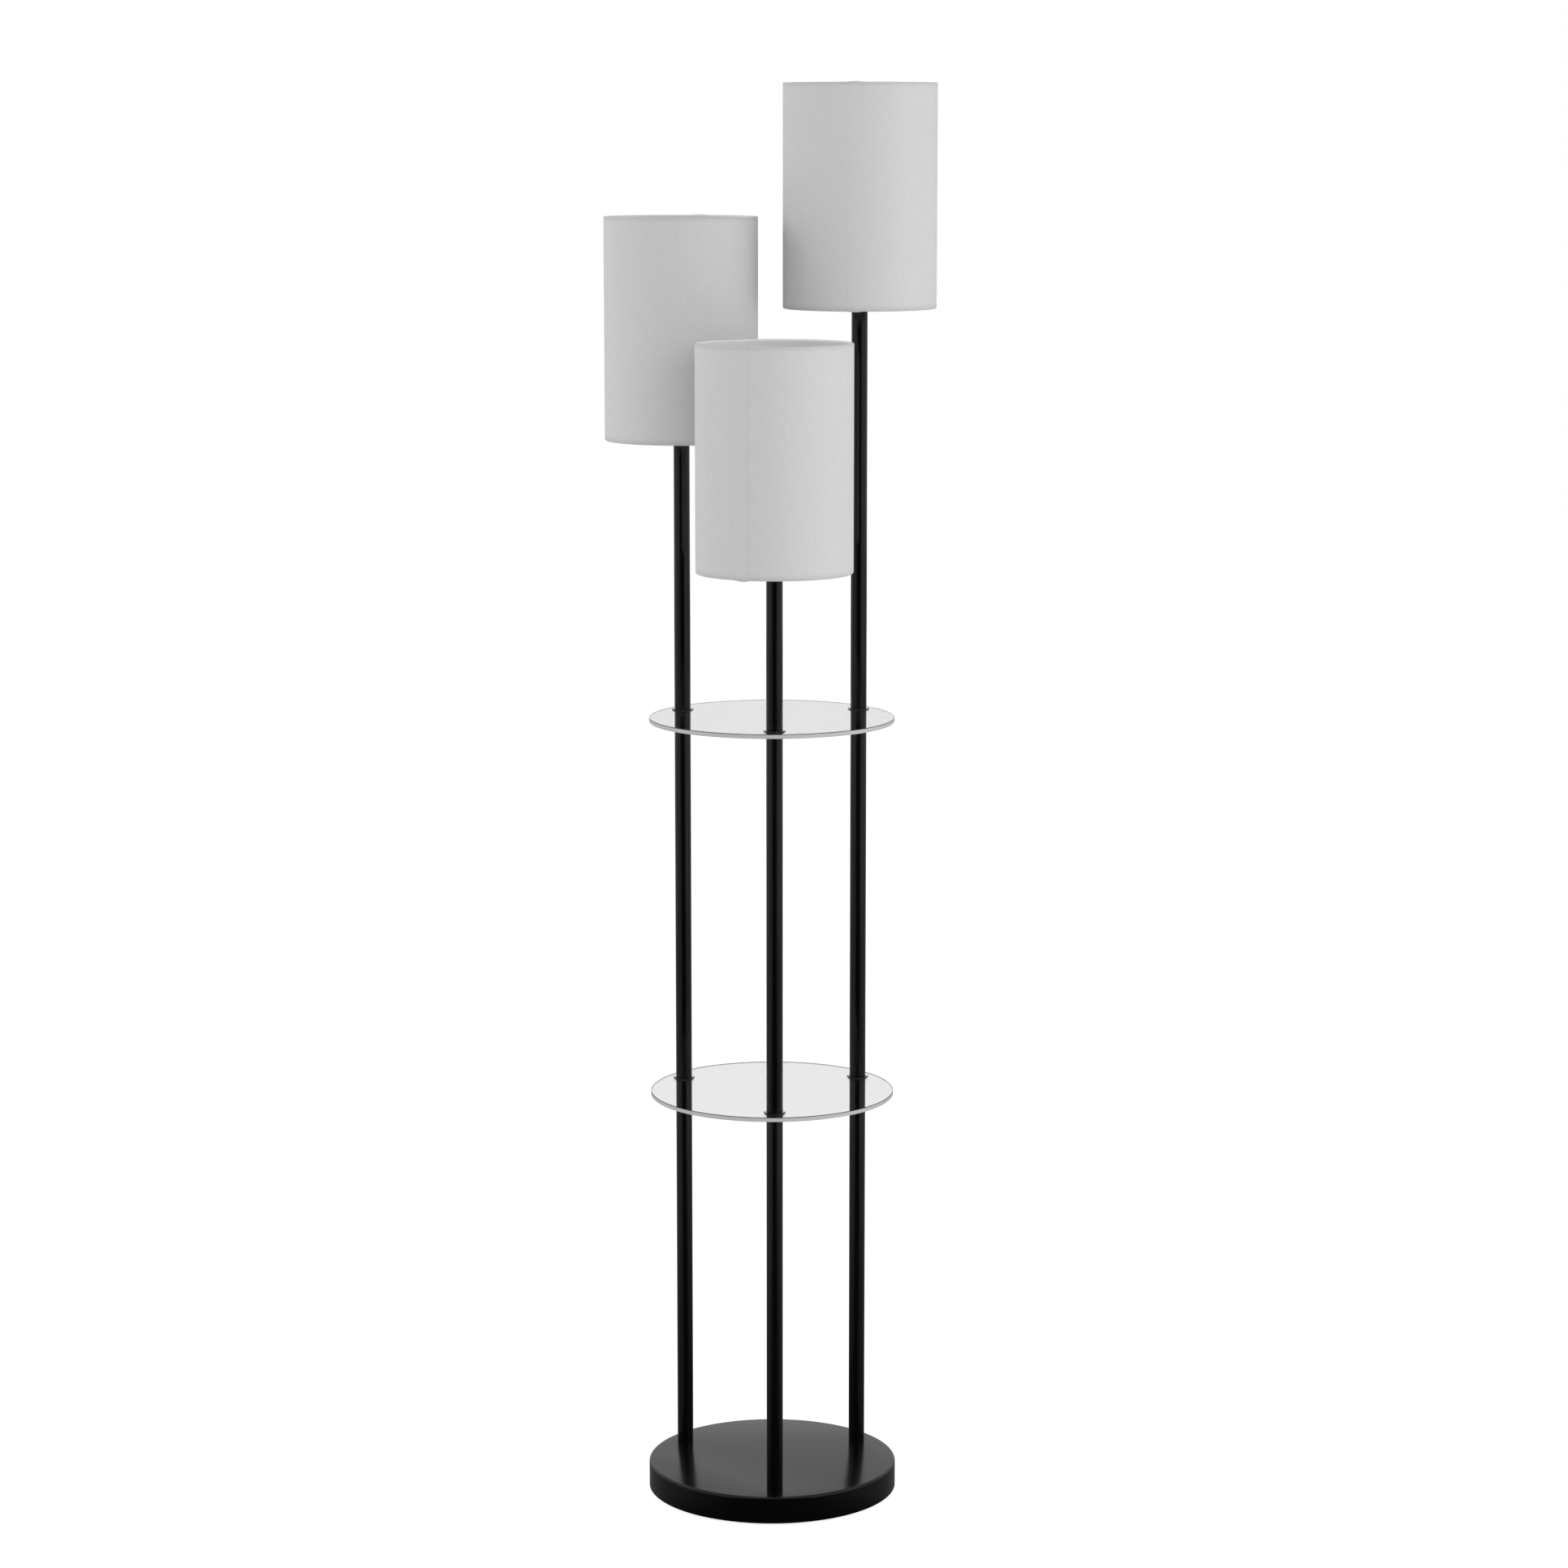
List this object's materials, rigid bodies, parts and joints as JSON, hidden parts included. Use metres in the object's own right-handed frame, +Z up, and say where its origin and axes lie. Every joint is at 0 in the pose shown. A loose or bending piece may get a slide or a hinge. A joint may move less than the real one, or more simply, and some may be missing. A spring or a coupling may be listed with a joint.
{
  "type": "shelf floor lamp",
  "caption": "Floor lamp with a round weighted base, straight black poles of unequal height, clear round shelves between them and tall fabric drum shades.",
  "frame": {"origin": "centre of the round base where it meets the floor", "axes": "+Z up along the poles; -Y towards the front pole, which carries the lowest shade; -X towards the pole with the middle shade and +X towards the tallest"},
  "size_m": [0.3674, 0.341, 1.579],
  "materials": {
    "black_paint": "satin",
    "cast_iron": "matte",
    "zinc_steel": "satin",
    "foot_foam": "matte",
    "bush_plastic": "matte",
    "box_plastic": "satin",
    "lead_plastic": "satin",
    "clear_shelf": "polished",
    "clear_washer": "gloss",
    "socket_plastic": "satin",
    "knob_plastic": "satin",
    "brass": "satin",
    "shade_fabric": "matte",
    "shade_wire": "satin",
    "bulb_cap_metal": "satin",
    "bulb_frosted_glass": "satin"
  },
  "bodies": {
    "lamp": {"base_ballast": "cast_iron", "base_bottom_plate": "zinc_steel", "base_cover": "black_paint", "base_foot_pad": "foot_foam", "base_lock_washers": "zinc_steel", "base_plate_screws": "zinc_steel", "base_pole_nipples": "zinc_steel", "base_pole_nuts": "zinc_steel", "bulb_caps": "bulb_cap_metal", "cord_inlet_bush": "bush_plastic", "front_bulb_glass": "bulb_frosted_glass", "front_lower_tube": "black_paint", "front_middle_tube": "black_paint", "front_pole_lead": "lead_plastic", "front_shade_cover": "shade_fabric", "front_shade_fitter": "shade_wire", "front_shade_rings": "shade_wire", "front_socket_body": "socket_plastic", "front_socket_cap": "socket_plastic", "front_upper_tube": "black_paint", "junction_box": "box_plastic", "junction_box_screws": "zinc_steel", "left_bulb_glass": "bulb_frosted_glass", "left_lower_tube": "black_paint", "left_middle_tube": "black_paint", "left_pole_lead": "lead_plastic", "left_shade_cover": "shade_fabric", "left_shade_fitter": "shade_wire", "left_shade_rings": "shade_wire", "left_socket_body": "socket_plastic", "left_socket_cap": "socket_plastic", "left_upper_tube": "black_paint", "lower_shelf": "clear_shelf", "lower_tube_inserts": "zinc_steel", "middle_tube_inserts": "zinc_steel", "right_bulb_glass": "bulb_frosted_glass", "right_lower_tube": "black_paint", "right_middle_tube": "black_paint", "right_pole_lead": "lead_plastic", "right_shade_cover": "shade_fabric", "right_shade_fitter": "shade_wire", "right_shade_rings": "shade_wire", "right_socket_body": "socket_plastic", "right_socket_cap": "socket_plastic", "right_upper_tube": "black_paint", "shade_clamp_rings": "socket_plastic", "shelf_couplers": "zinc_steel", "shelf_top_washers": "clear_washer", "shelf_under_washers": "clear_washer", "socket_contacts": "brass", "socket_nipples": "zinc_steel", "socket_screw_shells": "brass", "splice_caps": "box_plastic", "switch_blocks": "socket_plastic", "upper_shelf": "clear_shelf", "upper_tube_inserts": "zinc_steel"},
    "front_knob": {"front_switch_knob": "knob_plastic"},
    "left_knob": {"left_switch_knob": "knob_plastic"},
    "right_knob": {"right_switch_knob": "knob_plastic"}
  },
  "joints": [
    {"name": "front_knob_turn", "type": "hinge", "parent": "lamp", "child": "front_knob", "pos_m": [0, -0.14397, 1.089], "axis": [0, -1, 0], "continuous": true},
    {"name": "left_knob_turn", "type": "hinge", "parent": "lamp", "child": "left_knob", "pos_m": [-0.12468, 0.07198, 1.219], "axis": [-0.866, 0.5, 0], "continuous": true},
    {"name": "right_knob_turn", "type": "hinge", "parent": "lamp", "child": "right_knob", "pos_m": [0.12468, 0.07198, 1.364], "axis": [0.866, 0.5, 0], "continuous": true}
  ]
}
